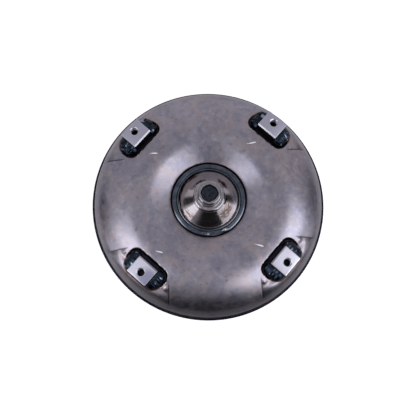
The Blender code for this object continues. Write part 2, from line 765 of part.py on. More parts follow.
def build():
    front_cover()
    pilot_boss()
    pilot_weld()
    pilot_bush()
    for index, angle in enumerate(lug_angles(), 1):
        drive_lug(index, angle)
        lug_weld(index, angle, 1, "a")
        lug_weld(index, angle, -1, "b")
    impeller_shell()
    impeller_blade_ring()
    pump_drive_hub()
    hub_weld()
    rim_weld()
    balance_weight()
    turbine_shell()
    turbine_blade_ring()
    turbine_hub()
    for index, (x, y) in enumerate(rivet_places(), 1):
        turbine_rivet(index, x, y)
    stator_wheel()
    stator_cam_race()
    stator_inner_race()
    for index, turn in enumerate(roller_turns(), 1):
        roller(index, turn)
        roller_spring(index, turn)
    ring("stator_rear_plate", *STATOR_PLATE_RADII, *STATOR_REAR_PLATE_Z, CAM_SIDES, BEARING)
    ring("stator_front_plate", *STATOR_PLATE_RADII, *STATOR_FRONT_PLATE_Z, CAM_SIDES, BEARING)
    snap_ring()
    for name, faces in THRUST_RACES.items():
        ring(name, *faces, BEARING_SIDES, TURNED)
    for name, sizes in BEARING_CAGES.items():
        needle_cage(name, *sizes)


build()
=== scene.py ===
"""Looks of a welded torque converter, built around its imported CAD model. Metres, +Z towards the engine."""

import json
from math import atan2, cos, degrees, exp, hypot, pi, radians, sin, sqrt, tan

import bmesh
import bpy
from mathutils import Matrix, Vector


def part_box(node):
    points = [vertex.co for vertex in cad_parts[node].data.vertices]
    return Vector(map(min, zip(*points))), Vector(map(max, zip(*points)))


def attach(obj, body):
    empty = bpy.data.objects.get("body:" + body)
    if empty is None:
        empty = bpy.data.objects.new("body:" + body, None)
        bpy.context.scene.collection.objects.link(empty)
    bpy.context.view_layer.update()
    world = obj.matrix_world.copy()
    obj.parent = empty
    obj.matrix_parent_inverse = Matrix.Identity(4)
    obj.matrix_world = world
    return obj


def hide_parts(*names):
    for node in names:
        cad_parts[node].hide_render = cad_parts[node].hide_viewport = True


MM = 0.001

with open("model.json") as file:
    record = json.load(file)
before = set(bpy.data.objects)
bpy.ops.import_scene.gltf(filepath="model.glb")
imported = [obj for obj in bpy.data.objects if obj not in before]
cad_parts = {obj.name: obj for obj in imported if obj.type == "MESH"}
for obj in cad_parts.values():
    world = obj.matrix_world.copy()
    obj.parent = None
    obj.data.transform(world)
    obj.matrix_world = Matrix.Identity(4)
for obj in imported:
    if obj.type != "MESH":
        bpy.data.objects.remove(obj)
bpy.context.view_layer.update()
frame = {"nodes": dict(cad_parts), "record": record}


# Places read from the frame, in millimetres

def node_box(node):
    """A CAD node's lowest and highest corner, in millimetres."""
    low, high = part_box(node)
    return low / MM, high / MM


def reach(node):
    """The outer radius of a node that is round about Z, in millimetres."""
    return node_box(node)[1].x


RIM_RADIUS = reach("impeller_shell")
RIM_Z = node_box("impeller_shell")[1].z
COVER_RADIUS = reach("front_cover")
CREST_Z = node_box("front_cover")[1].z
SKIRT_Z = node_box("front_cover")[0].z
LUG_TOP_Z = node_box("drive_lug_1")[1].z
WELD_GAP = 0.3
SEAT_Z = node_box("drive_lug_1")[0].z - WELD_GAP
PILOT_TOP_Z = node_box("pilot_boss")[1].z

# The cover's outline: a crest between two arcs, a shoulder, and the recess round the pilot
COVER_WALL = 4.5
INNER_STEP = 5
CREST_RADIUS = 91
CREST_ARC = 72
SHOULDER_ARC = 28
INNER_ARC = 52.5
VALLEY_TILT = 26
BOSS_SEAT = (46.6, 103.0)
RECESS_RADIUS = 47.4

# The pilot as (radius, height) points: the hollow in its end, nose, shoulder, cone, and the bore behind
NOSE_HOLLOW = [(0, 138.2), (7.5, 138.9), (9.0, 139.2), (9.9, 140.4)]
NOSE_BORE = 10.4
NOSE_RADIUS = 13.6
NOSE_BEVEL = 1.0
NOSE_FOOT_Z = 127.6
SHOULDER = [(14.2, 127), (17.6, 126.9), (19.6, 125.4)]
CONE_TOP = (18.4, 119.6)
CONE_FOOT = (36.0, 106.0)
BOSS_RADIUS = 37.0
BOSS_SIDE = (104.9, 98.5)
BOSS_BORE = [(34.3, 98.5), (34.3, 100.8), (19.8, 100.8), (19.8, 115), (0, 115)]

LUG_ANGLES = [radians(45 + 90 * i) for i in range(4)]
LUG_CENTRE = 119.3
LUG_HOLE = 121.8
LUG_SIZE = (23.0, 28.2)
LUG_CHAMFER = 1.6
LUG_CORNER = 1.1
LUG_BEVEL = 0.8
THREAD_PITCH = 1.5
THREAD_RADII = (4.4, 5.0)
HOLE_MOUTH = 5.5
HOLE_PROUD = 0.5
BEAD_CENTRE = 117.8
BEAD_SIZE = (13.5, 12.4, 11.0)

# Each lug's pocket: an inner wall, straight sides and creases that fan out to the rim
POCKET_INNER = 102.2
POCKET_SIDE = 27.6
POCKET_CORNER = 9.5
POCKET_WALL = 1.2
FAN_START = (103.5, 27.0)
FAN_SLOPE = 0.85
FAN_RISE = (0.46, 0.30)
FAN_STEP = 2.4
FOLD_REACH = (112.0, 118.0, 134.0, 141.0)
FOLD_SIZE = (0.9, 0.22)
RIDGE_SHARE = 1.4
PAD_CORNER = (117.0, 33.5)
PAD_CORNER_SIZE = (1.1, 2.4)
PAD_EDGE = (129.5, 142.0)
PAD_EDGE_DROP = 1.2


# Mesh helpers. Points are given in millimetres and kept in metres.

def spread(start, end, count):
    """Evenly spaced numbers, both ends included."""
    return [start + (end - start) * i / (count - 1) for i in range(count)]


def arc(centre, radius, start, end, count):
    """Points on an arc in (radius, height), angles in degrees from +X."""
    turns = [radians(turn) for turn in spread(start, end, count)]
    return [(centre[0] + radius * cos(a), centre[1] + radius * sin(a)) for a in turns]


def bell(value, middle, width):
    """1 at the middle, falling smoothly to 0 around it."""
    return exp(-(((value - middle) / width) ** 2))


def smoothstep(low, high, value):
    """0 below low, 1 above high, and smooth between."""
    t = min(1.0, max(0.0, (value - low) / (high - low)))
    return t * t * (3 - 2 * t)


def soft_positive(value, softness):
    """The value where positive and zero where negative, with a rounded knee."""
    return (value + sqrt(value * value + softness * softness)) / 2


def new_object(name, data):
    """An object that stands in the scene."""
    made = bpy.data.objects.new(name, data)
    bpy.context.scene.collection.objects.link(made)
    return made


def add_piece(name, points, faces, material, body="housing"):
    """A mesh of the given points, shaded smooth, that rides on a body."""
    mesh = bpy.data.meshes.new(name)
    mesh.from_pydata([tuple(c * MM for c in p) for p in points], [], faces)
    mesh.materials.append(material)
    mesh.shade_smooth()
    mesh.set_sharp_from_angle(angle=radians(38))
    piece = new_object(name, mesh)
    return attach(piece, body)


def lathe(name, profile, turns, material, warp=None, body="housing", closed=True):
    """A profile of (radius, height) turned about Z. warp(r, z, angle) may move each point.

    The profile runs from the top down its outer side, and each ring has a point at each of the turns.
    A profile point on the axis becomes one shared vertex.
    """
    points, rings = [], []
    for r, z in profile:
        if r < 1e-6:
            rings.append([len(points)] * len(turns))
            points.append((0, 0, z))
            continue
        rings.append(list(range(len(points), len(points) + len(turns))))
        for angle in turns:
            wr, wz = warp(r, z, angle) if warp else (r, z)
            points.append((wr * cos(angle), wr * sin(angle), wz))
    faces = []
    pairs = list(zip(rings, rings[1:]))
    if closed:
        pairs.append((rings[-1], rings[0]))
    for upper, lower in pairs:
        for i in range(len(turns)):
            j = (i + 1) % len(turns)
            corners = []
            for corner in (upper[i], lower[i], lower[j], upper[j]):
                if corner not in corners:
                    corners.append(corner)
            if len(corners) > 2:
                faces.append(corners)
    return add_piece(name, points, faces, material, body)


def even_turns(count):
    return [2 * pi * i / count for i in range(count)]


def rounded(profile, radius, count=4):
    """The open profile with each inner corner rounded to the radius, where its sides are long enough."""
    made = [profile[0]]
    for before, corner, after in zip(profile, profile[1:], profile[2:]):
        a = Vector(before) - Vector(corner)
        b = Vector(after) - Vector(corner)
        cut = min(radius, a.length * 0.45, b.length * 0.45)
        start = Vector(corner) + a.normalized() * cut
        end = Vector(corner) + b.normalized() * cut
        for t in spread(0, 1, count):
            point = start * (1 - t) ** 2 + Vector(corner) * 2 * t * (1 - t) + end * t * t
            made.append(tuple(point))
    return made + [profile[-1]]


# Materials

class Nodes:
    """Short ways to add nodes to a tree."""

    def __init__(self, tree):
        self.tree = tree

    def node(self, kind, inputs=None, **settings):
        """A new node. Inputs go by name or number, and are values or other nodes' outputs."""
        made = self.tree.nodes.new(kind)
        for name, value in settings.items():
            setattr(made, name, value)
        for name, value in (inputs or {}).items():
            self.feed(value, made.inputs[name])
        return made

    def feed(self, value, socket):
        if isinstance(value, bpy.types.NodeSocket):
            self.tree.links.new(value, socket)
        else:
            socket.default_value = value

    def math(self, operation, a, b=0.0):
        return self.node("ShaderNodeMath", {0: a, 1: b}, operation=operation).outputs[0]

    def axes(self, place):
        """A vector's X, Y and Z."""
        return self.node("ShaderNodeSeparateXYZ", {0: place}).outputs

    def window(self, value, start, end, low=0.0, high=1.0, interpolation="SMOOTHSTEP"):
        """Low below start and high above end."""
        inputs = {0: value, 1: start, 2: end, 3: low, 4: high}
        return self.node("ShaderNodeMapRange", inputs, interpolation_type=interpolation).outputs[0]


class Material(Nodes):
    """A Principled material."""

    def __init__(self, name, colour, roughness, metallic=1.0):
        self.material = bpy.data.materials.new(name)
        self.material.use_nodes = True
        super().__init__(self.material.node_tree)
        self.surface = self.tree.nodes["Principled BSDF"]
        self.surface.inputs["Base Color"].default_value = (*colour, 1)
        self.surface.inputs["Roughness"].default_value = roughness
        self.surface.inputs["Metallic"].default_value = metallic
        self.place = self.node("ShaderNodeTexCoord").outputs["Object"]

    def noise(self, scale, detail=3.0, roughness=0.5, vector=None, distortion=0.0):
        """Noise of that many waves a metre, from 0 to 1."""
        inputs = {
            "Vector": self.place if vector is None else vector,
            "Scale": scale, "Detail": detail, "Roughness": roughness, "Distortion": distortion,
        }
        return self.node("ShaderNodeTexNoise", inputs).outputs["Fac"]

    def stretched(self, scale):
        """The place, with each axis scaled on its own."""
        return self.node("ShaderNodeMapping", {"Vector": self.place, "Scale": scale}).outputs[0]

    def polar(self, radial, angular, axial=0.0):
        """(radius, angle, height) as a vector, each times its own scale."""
        x, y, z = self.axes(self.place)
        flat = self.math("SQRT", self.math("ADD", self.math("MULTIPLY", x, x), self.math("MULTIPLY", y, y)))
        scaled = [(flat, radial), (self.math("ARCTAN2", y, x), angular), (z, axial)]
        inputs = {i: self.math("MULTIPLY", *pair) for i, pair in enumerate(scaled)}
        return self.node("ShaderNodeCombineXYZ", inputs).outputs[0]

    def ramp(self, factor, *stops):
        """Colours along a factor, each stop (position, (r, g, b))."""
        made = self.node("ShaderNodeValToRGB", {0: factor})
        points = made.color_ramp.elements
        points[0].position, points[0].color = stops[0][0], (*stops[0][1], 1)
        points[1].position, points[1].color = stops[-1][0], (*stops[-1][1], 1)
        for position, colour in stops[1:-1]:
            points.new(position).color = (*colour, 1)
        return made.outputs[0]

    def between(self, factor, low, high):
        """A value that goes from low to high as the factor goes from 0 to 1."""
        return self.node("ShaderNodeMapRange", {0: factor, 3: low, 4: high}).outputs[0]

    def mix(self, factor, a, b, blend="MIX"):
        made = self.node("ShaderNodeMix", data_type="RGBA", blend_type=blend)
        for value, socket in zip((factor, a, b), (made.inputs[0], made.inputs[6], made.inputs[7])):
            colour = isinstance(value, tuple)
            self.feed((*value, 1) if colour else value, socket)
        return made.outputs[2]

    def attribute(self, name):
        """A number that the mesh holds for each vertex."""
        return self.node("ShaderNodeAttribute", attribute_name=name).outputs["Fac"]

    def bump(self, height, depth, before=None):
        inputs = {"Height": height, "Distance": depth * MM, "Strength": 1.0}
        if before is not None:
            inputs["Normal"] = before
        return self.node("ShaderNodeBump", inputs).outputs[0]

    def finish(self, colour=None, roughness=None, normal=None):
        for value, name in ((colour, "Base Color"), (roughness, "Roughness"), (normal, "Normal")):
            if value is not None:
                self.feed(value, self.surface.inputs[name])
        return self.material


STAIN_PLACE = (-0.0790, -0.0955, LUG_TOP_Z * MM)
STEEL_TINTS = (
    (0.30, (0.280, 0.262, 0.290)),
    (0.52, (0.352, 0.334, 0.372)),
    (0.72, (0.424, 0.407, 0.452)),
)
# Heat tints; the near-black end also paints shade in the trenches and at the pilot recess lip
HEAT_TINTS_AND_SHADE = (
    (0.0, (1.0, 1.0, 1.0)),
    (0.30, (0.98, 0.93, 0.88)),
    (0.55, (0.62, 0.42, 0.30)),
    (0.75, (0.20, 0.13, 0.12)),
    (1.0, (0.06, 0.07, 0.10)),
)


def pressed_steel():
    """Cold-formed sheet under an oil film: blotched grey, faint drawing rings, burnt beside welds, with
    painted shade in the lugs' trenches, at the pilot recess lip and along the folds.
    """
    made = Material("pressed_steel", (0.36, 0.34, 0.37), 0.34)
    cloud = made.noise(13, detail=6, roughness=0.62, distortion=0.7)
    blotch = made.noise(38, detail=4, roughness=0.6, distortion=1.2)
    fine = made.noise(170, detail=5, roughness=0.65)
    rings = made.noise(1, detail=3, vector=made.polar(420, 0.8))
    base = made.ramp(cloud, *STEEL_TINTS)
    base = made.mix(made.window(blotch, 0.47, 0.66, 0.0, 0.70), base, (0.440, 0.378, 0.375))
    base = made.mix(made.window(blotch, 0.50, 0.32, 0.0, 0.65), base, (0.268, 0.264, 0.335))
    base = made.mix(made.window(fine, 0.50, 0.75, 0.0, 0.65), base, (0.52, 0.50, 0.53))
    base = made.mix(made.window(fine, 0.44, 0.28, 0.0, 0.65), base, (0.190, 0.175, 0.190))
    tide = made.math("ABSOLUTE", made.math("SUBTRACT", made.noise(8, detail=2, distortion=0.4), 0.5))
    base = made.mix(made.window(tide, 0.006, 0.0, 0.0, 0.22), base, (0.24, 0.225, 0.24))
    painted_light_and_tint = made.attribute("tint_and_painted_light")
    edge = made.math("ADD", painted_light_and_tint, made.between(made.noise(130, detail=4, roughness=0.6), -0.28, 0.28))
    # Heat tints beside welds, and painted shade in the trenches and at the recess lip
    burnt_and_shaded = made.mix(made.window(painted_light_and_tint, 0.0, 0.08), (1, 1, 1), made.ramp(edge, *HEAT_TINTS_AND_SHADE))
    colour = made.mix(1.0, base, burnt_and_shaded, "MULTIPLY")
    # Painted shade along the folds: dark grey where the value is below 0
    colour = made.mix(made.window(painted_light_and_tint, -0.05, -0.9, 0.0, 0.88), colour, (0.075, 0.068, 0.072))
    rough = made.math("ADD", made.between(blotch, 0.24, 0.42), made.between(rings, -0.04, 0.04))
    rough = made.math("ADD", rough, made.between(fine, -0.09, 0.09))
    skin = made.bump(rings, 0.012)
    skin = made.bump(cloud, 0.35, skin)
    skin = made.bump(fine, 0.015, skin)
    return made.finish(colour, rough, skin)


def ground_steel():
    """Ground faces with painted light: the lugs towards -Y painted lit, the others darkened as painted shade;
    stained blue on one, over black sides.
    """
    made = Material("ground_steel", (0.66, 0.66, 0.71), 0.34)
    lines = made.noise(1, detail=4, vector=made.stretched((2600, 220, 400)))
    cloud = made.noise(60, detail=3)
    colour = made.mix(lines, (0.58, 0.58, 0.64), (0.74, 0.74, 0.80))
    colour = made.mix(made.between(cloud, 0.0, 0.35), colour, (0.48, 0.48, 0.56))
    x, y, z = made.axes(made.place)
    edge = made.math("ADD", z, made.between(made.noise(300), -0.0006, 0.0006))
    clean = made.window(edge, (LUG_TOP_Z - 2.6) * MM, (LUG_TOP_Z - 1.6) * MM)
    # Painted light: the lug towards +X -Y and the lug towards -X -Y lit in a pale colour, the others darkened
    # as painted shade
    light = (0.70, 0.70, 0.76)
    right = made.window(made.math("SUBTRACT", x, y), 0.03, 0.15)
    colour = made.mix(right, made.mix(1.0, colour, (0.80, 0.80, 0.84), "MULTIPLY"), light)
    left = made.window(made.math("ADD", x, y), -0.12, -0.16)
    colour = made.mix(left, colour, light)
    away = made.node("ShaderNodeVectorMath", {0: made.place, 1: STAIN_PLACE}, operation="DISTANCE")
    stain = made.window(away.outputs["Value"], 0.018, 0.007, 0.0, 0.80)
    colour = made.mix(stain, colour, (0.27, 0.28, 0.40))
    scale = made.ramp(cloud, (0.4, (0.020, 0.018, 0.018)), (0.7, (0.07, 0.055, 0.045)))
    colour = made.mix(clean, scale, colour)
    rough = made.math("ADD", made.between(lines, 0.44, 0.56), made.between(clean, 0.05, 0.0))
    return made.finish(colour, rough, made.bump(lines, 0.012))


def bright_edge():
    """Bevels and hole mouths, cut clean and left bright."""
    made = Material("bright_edge", (0.70, 0.69, 0.72), 0.3)
    lines = made.noise(1, detail=3, vector=made.stretched((900, 900, 200)))
    colour = made.mix(lines, (0.50, 0.485, 0.505), (0.66, 0.645, 0.67))
    return made.finish(colour, made.between(lines, 0.24, 0.38), made.bump(lines, 0.006))


def thread_steel():
    """A tapped thread's flanks: a painted highlight near the mouth and painted shade further down."""
    made = Material("thread_steel", (0.30, 0.29, 0.30), 0.22)
    grain = made.noise(700, detail=3)
    # Painted highlight near the mouth over painted shade further down the hole
    mouth = made.window(made.axes(made.place)[2], (LUG_TOP_Z - 12.0) * MM, (LUG_TOP_Z - 5.0) * MM)
    colour = made.mix(grain, (0.05, 0.049, 0.05), (0.10, 0.098, 0.10))
    colour = made.mix(mouth, colour, (0.80, 0.79, 0.82))
    return made.finish(colour, made.between(grain, 0.16, 0.34), made.bump(grain, 0.01))


def painted_glint_steel():
    """Near-white paint for the painted glints on the cover."""
    made = Material("painted_glint_steel", (0.95, 0.95, 0.98), 0.3, metallic=0.15)
    grain = made.noise(900, detail=2)
    colour = made.mix(grain, (0.93, 0.93, 0.97), (1.0, 1.0, 1.0))
    return made.finish(colour, made.between(grain, 0.25, 0.4))


def turned_steel(name="turned_steel", stains=False):
    """Lathe-turned steel with fine rings. With stains: scorched, with painted shade on the pilot shoulder's
    side, where the tint is above 0; dull grey, with painted dark reflections on the cone, where below.
    """
    made = Material(name, (0.62, 0.60, 0.62), 0.2)
    rings = made.noise(1, detail=2, vector=made.polar(900, 0.5, 900))
    bands = made.noise(1, detail=2, vector=made.polar(260, 0.4, 260))
    colour = made.mix(bands, (0.52, 0.505, 0.52), (0.66, 0.645, 0.655))
    sheen = (0.09, 0.15)
    if stains:
        sheen = (0.09, 0.16)
        colour = made.mix(1.0, colour, (0.97, 0.92, 0.90), "MULTIPLY")
        smear = made.noise(1, detail=5, roughness=0.6, vector=made.polar(150, 1.6, 60))
        colour = made.mix(made.window(smear, 0.55, 0.75, 0.0, 0.7), colour, (0.40, 0.29, 0.21))
        scorch_and_shade = made.noise(1, detail=5, roughness=0.65, vector=made.polar(620, 5.0, 300))
        patchy = made.window(scorch_and_shade, 0.34, 0.56, 0.25, 1.3)
        tint_and_painted_light = made.math("MULTIPLY", made.attribute("tint_and_painted_light"), patchy)
        # Above 0: scorch colours, also used as painted shade on the pilot shoulder's side
        colour = made.mix(made.window(tint_and_painted_light, 0.12, 0.45, 0.0, 0.8), colour, (0.17, 0.095, 0.055))
        colour = made.mix(made.window(tint_and_painted_light, 0.42, 0.80), colour, (0.018, 0.012, 0.010))
        # Below 0: dull grey on the nose, and painted dark reflections on the cone
        colour = made.mix(made.window(tint_and_painted_light, -0.1, -0.9, 0.0, 0.8), colour, (0.27, 0.27, 0.29))
    rough = made.math("ADD", made.between(rings, *sheen), made.between(bands, -0.02, 0.03))
    made.surface.inputs["Anisotropic"].default_value = 0.3
    made.surface.inputs["Anisotropic Rotation"].default_value = 0.25
    around = made.node("ShaderNodeTangent", direction_type="RADIAL", axis="Z")
    made.feed(around.outputs[0], made.surface.inputs["Tangent"])
    return made.finish(colour, rough, made.bump(bands, 0.002))


def weld_bead():
    """Blued weld metal: dark, glossy, with blue and brown tints and a few bright places."""
    dark, light = (0.010, 0.014, 0.020), (0.034, 0.050, 0.072)
    made = Material("weld_bead", dark, 0.2)
    cloud = made.noise(80, detail=4, distortion=0.8)
    colour = made.ramp(cloud, (0.36, dark), (0.60, light), (0.76, (0.05, 0.034, 0.026)))
    glint = made.noise(125, detail=2)
    colour = made.mix(made.window(glint, 0.60, 0.70), colour, (0.33, 0.40, 0.48))
    rough = made.between(glint, 0.40, 0.10)
    return made.finish(colour, rough, made.bump(made.noise(150, detail=2), 0.35))


def rim_weld_steel():
    """The dark scaled seam round the rim."""
    made = Material("rim_weld", (0.02, 0.02, 0.026), 0.5)
    cloud = made.noise(120, detail=4)
    colour = made.ramp(cloud, (0.35, (0.012, 0.012, 0.016)), (0.70, (0.034, 0.034, 0.042)))
    return made.finish(colour, made.between(cloud, 0.42, 0.62), made.bump(cloud, 0.1))


def ring_weld_steel():
    """The smooth slate-blue ring welds: rusty where the tint is above 0, painted highlights where below."""
    made = Material("ring_weld", (0.07, 0.09, 0.115), 0.25)
    cloud = made.noise(70, detail=4, distortion=0.6)
    colour = made.ramp(cloud, (0.34, (0.060, 0.076, 0.098)), (0.70, (0.130, 0.155, 0.190)))
    fine = made.noise(420, detail=3)
    colour = made.mix(made.window(fine, 0.55, 0.75, 0.0, 0.6), colour, (0.26, 0.29, 0.33))
    tint_and_painted_light = made.attribute("tint_and_painted_light")
    # Painted highlights below 0: a pale sheen, and near-white glints at the lowest values
    colour = made.mix(made.window(tint_and_painted_light, -0.1, -0.8, 0.0, 0.75), colour, (0.40, 0.42, 0.45))
    colour = made.mix(made.window(tint_and_painted_light, -1.0, -1.7), colour, (0.95, 0.96, 0.98))
    colour = made.mix(made.window(tint_and_painted_light, 0.45, 0.80, 0.0, 0.8), colour, (0.10, 0.042, 0.036))
    return made.finish(colour, made.between(fine, 0.12, 0.26), made.bump(fine, 0.015))


def painted_shade_black():
    """Painted shade: the near-black bottom of the pilot's shallow recess."""
    made = Material("painted_shade_black", (0.03, 0.035, 0.045), 0.45)
    cloud = made.noise(300, detail=4)
    colour = made.ramp(cloud, (0.3, (0.018, 0.022, 0.030)), (0.7, (0.055, 0.062, 0.075)))
    return made.finish(colour, made.between(cloud, 0.3, 0.6), made.bump(cloud, 0.15))


def cast_aluminium():
    made = Material("cast_aluminium", (0.70, 0.71, 0.73), 0.5)
    grain = made.noise(900, detail=3)
    colour = made.mix(made.noise(50, detail=4), (0.60, 0.61, 0.63), (0.76, 0.77, 0.79))
    return made.finish(colour, made.between(grain, 0.42, 0.62), made.bump(grain, 0.08))


def bearing_bronze():
    made = Material("bearing_bronze", (0.60, 0.42, 0.22), 0.3)
    rust_and_painted_highlights = made.noise(1, detail=3, vector=made.polar(900, 1.5, 900))
    colour = made.mix(rust_and_painted_highlights, (0.48, 0.32, 0.16), (0.70, 0.52, 0.30))
    return made.finish(colour, made.between(rust_and_painted_highlights, 0.2, 0.42), made.bump(rust_and_painted_highlights, 0.01))


PRESSED = pressed_steel()
GROUND = ground_steel()
GLINT_WHITE = painted_glint_steel()
TURNED = turned_steel()
PILOT_STEEL = turned_steel("pilot_steel", stains=True)
EDGE = bright_edge()
THREAD = thread_steel()
BEAD = weld_bead()
RIM_BEAD = rim_weld_steel()
RING_BEAD = ring_weld_steel()
RECESS_SHADE = painted_shade_black()
CAST = cast_aluminium()
BRONZE = bearing_bronze()


# Front cover

def lug_share(r, angle):
    """(outwards, sideways) of a place from the axis, along its nearest lug's own direction."""
    turn = min(((angle - a + pi) % (2 * pi) - pi for a in LUG_ANGLES), key=abs)
    return r * cos(turn), abs(r * sin(turn))


def edge_height(r, plain):
    """The pad's top, which rounds over to the cover's shoulder."""
    return SEAT_Z + (plain + PAD_EDGE_DROP - SEAT_Z) * smoothstep(*PAD_EDGE, r)


def pocket_distance(u, v):
    """Distance to the pocket's outline, negative inside it."""
    across = Vector((POCKET_INNER - u + POCKET_CORNER, v - POCKET_SIDE + POCKET_CORNER))
    outside = Vector((max(across.x, 0), max(across.y, 0))).length
    return outside + min(max(across.x, across.y), 0) - POCKET_CORNER


def fan_side(u, v):
    """Distance into the pad from the fold along its side, negative outside it."""
    return (FAN_START[1] + FAN_SLOPE * (u - FAN_START[0]) - v) / hypot(1, FAN_SLOPE)


def fold_share(r, side):
    """How much of the fold's groove is at a place, from 0 to 1."""
    start, full, fading, end = FOLD_REACH
    along = smoothstep(start, full, r) * (1 - smoothstep(fading, end, r))
    return along * bell(side, 0, FOLD_SIZE[0])


def far_side(angle):
    """Whether an angle is between the two lugs along +Y, where the folds are soft ridges."""
    return sin(angle) > 0.8


def pressed_height(r, angle, plain):
    """The cover's height where a plain dome would be at height plain: pads, creases and pockets."""
    u, v = lug_share(r, angle)
    side = fan_side(u, v)
    steep, gentle = FAN_RISE
    fan = soft_positive(side, 0.4)
    rise = steep * fan - (steep - gentle) * soft_positive(fan - FAN_STEP, 1.0)
    rise *= smoothstep(SKIRT_Z + 3, SKIRT_Z + 12, plain)
    top = edge_height(r, plain)
    proud = max(top - plain, 0.0)
    raised = plain + min(max(proud - soft_positive(proud - rise, 2.4), 0), proud)
    raised += FOLD_SIZE[1] * fold_share(r, side) * (RIDGE_SHARE if far_side(angle) else -1)
    lift, width = PAD_CORNER_SIZE
    raised += lift * bell(u, PAD_CORNER[0], width) * bell(v, PAD_CORNER[1], width)
    cut = 1 - smoothstep(-POCKET_WALL, POCKET_WALL, pocket_distance(u, v))
    if plain > top:
        raised += cut * (top - raised)
    return raised


def cover_stations():
    """The plain dome's outer profile, from the pilot over the crest to the skirt."""
    crest = (CREST_RADIUS, CREST_Z - CREST_ARC)
    shoulder_r = COVER_RADIUS - SHOULDER_ARC
    shoulder_z = crest[1] + sqrt((CREST_ARC - SHOULDER_ARC) ** 2 - (shoulder_r - crest[0]) ** 2)
    join = degrees(atan2(shoulder_z - crest[1], shoulder_r - crest[0]))
    inner = (CREST_RADIUS, CREST_Z - INNER_ARC)
    inside = arc(inner, INNER_ARC, 90 + VALLEY_TILT, 90, 22)
    fall = tan(radians(VALLEY_TILT))
    foot_r, foot_z = inside[0]
    slope = [(r, foot_z - (foot_r - r) * fall) for r in spread(RECESS_RADIUS + 0.8, foot_r, 10)[:-1]]
    lip = [(RECESS_RADIUS - 0.1, slope[0][1] - 1.2), (RECESS_RADIUS + 0.2, slope[0][1] - 0.5)]
    seat = [(BOSS_RADIUS + 0.6, BOSS_SEAT[1]), BOSS_SEAT] + lip + slope
    top = arc(crest, CREST_ARC, 90, join, 48)[1:]
    side = arc((shoulder_r, shoulder_z), SHOULDER_ARC, join, 0, 26)[1:]
    wall = [(COVER_RADIUS, z) for z in spread(shoulder_z, SKIRT_Z, 5)][1:]
    return seat + inside + top + side + wall


def cover_turns():
    """Angles round the cover, closest together where the folds and pockets are."""
    turns = []
    for lug in LUG_ANGLES:
        beside = spread(-24, -11, 37) + spread(-11, 11, 37)[1:-1] + spread(11, 24, 37)
        turns += [lug + radians(t) for t in beside + spread(24, 66, 20)[1:-1]]
    return turns


def burn_and_shade_of(x, y, z):
    """How burnt the sheet is by a weld, with painted shade in the trench inside each pocket and at the pilot
    recess lip, from 0 to 1; painted shade along the folds, from 0 to -1.
    """
    r, angle = hypot(x, y), atan2(y, x)
    u, v = lug_share(r, angle)
    half_length, half_width = LUG_SIZE[0] / 2, LUG_SIZE[1] / 2
    bead_length, bead_width = BEAD_SIZE[:2]
    off_bead = hypot((u - BEAD_CENTRE) / bead_length, max(v - half_width, 0) / bead_width)
    to_bead = max(off_bead - 1, 0) * bead_width
    to_block = max(abs(u - LUG_CENTRE) - half_length, v - half_width, 0)
    # Painted shade in the trench along each lug's inner face
    trench_shade = (1 - smoothstep(-0.6, 1.0, pocket_distance(u, v))) * (1 - smoothstep(108, 114, u))
    lug = max(0.86 * trench_shade, bell(to_bead, 0, 1.9), bell(to_block, 0, 1.1), 0.27 * bell(to_bead, 0, 7))
    # Painted shade: a dark line in the gap at the pilot recess lip, with a faint weld tint beside it
    hub = max(bell(r, RECESS_RADIUS - 0.6, 0.8), 0.1 * bell(r, RECESS_RADIUS + 1.6, 3))
    rim = 0.55 * bell(r, COVER_RADIUS, 1.2) * smoothstep(RIM_Z + 6, RIM_Z, z)
    tint_and_painted_light = min(1.0, max(lug, hub, rim))
    # Painted shade along the folds, as values below 0, except on the far side
    return tint_and_painted_light if tint_and_painted_light > 0.1 or far_side(angle) else tint_and_painted_light - fold_share(r, fan_side(u, v))


def with_tint_and_painted_light(piece, rule):
    """Writes the rule's number for each vertex to the mesh's tint attribute: weld burn, scorch and rust, with
    painted shade and painted highlights.
    """
    painted_light_and_tint = piece.data.attributes.new("tint_and_painted_light", "FLOAT", "POINT")
    painted_light_and_tint.data.foreach_set("value", [rule(*(vertex.co / MM)) for vertex in piece.data.vertices])
    return piece


def inwards(stations, i):
    """The way into the sheet at a station of the profile."""
    before, after = stations[max(i - 1, 0)], stations[min(i + 1, len(stations) - 1)]
    along = Vector((after[0] - before[0], after[1] - before[1])).normalized()
    return Vector((-along.y, along.x)) * -1


def front_cover():
    """The pressed cover as one closed sheet. Its inner face has one station in INNER_STEP."""
    stations = cover_stations()
    outer, inner = [], []
    for i, (r, z) in enumerate(stations):
        into = inwards(stations, i)
        outer.append((r, z, r, z))
        if i % INNER_STEP and i < len(stations) - 1:
            continue
        outwards = 1 if r > CREST_RADIUS else -1
        inner.append((r - abs(into.x) * COVER_WALL * outwards, z - abs(into.y) * COVER_WALL, r, z))
    loop = outer + inner[::-1]
    turns = cover_turns()
    points = []
    for r, z, plain_r, plain_z in loop:
        for angle in turns:
            lift = pressed_height(plain_r, angle, plain_z) - plain_z
            points.append((r * cos(angle), r * sin(angle), z + lift))
    count = len(turns)
    faces = []
    for k in range(len(loop)):
        upper, lower = k * count, (k + 1) % len(loop) * count
        for i in range(count):
            j = (i + 1) % count
            faces.append((upper + i, lower + i, lower + j, upper + j))
    cover = add_piece("cover_shell", points, faces, PRESSED)
    with_tint_and_painted_light(cover, burn_and_shade_of)
    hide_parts("front_cover")


# Painted glints: near-white tapered streaks where the cover catches the light, each from one (radius,
# degrees) place on the cover to another
GLINT_MARKS = [
    ((92, 140), (84, 135)),
    ((82, 51.5), (91, 46)),
    ((92, -138.5), (87.5, -133)),
    ((79, -50.5), (89, -46.6)),
]


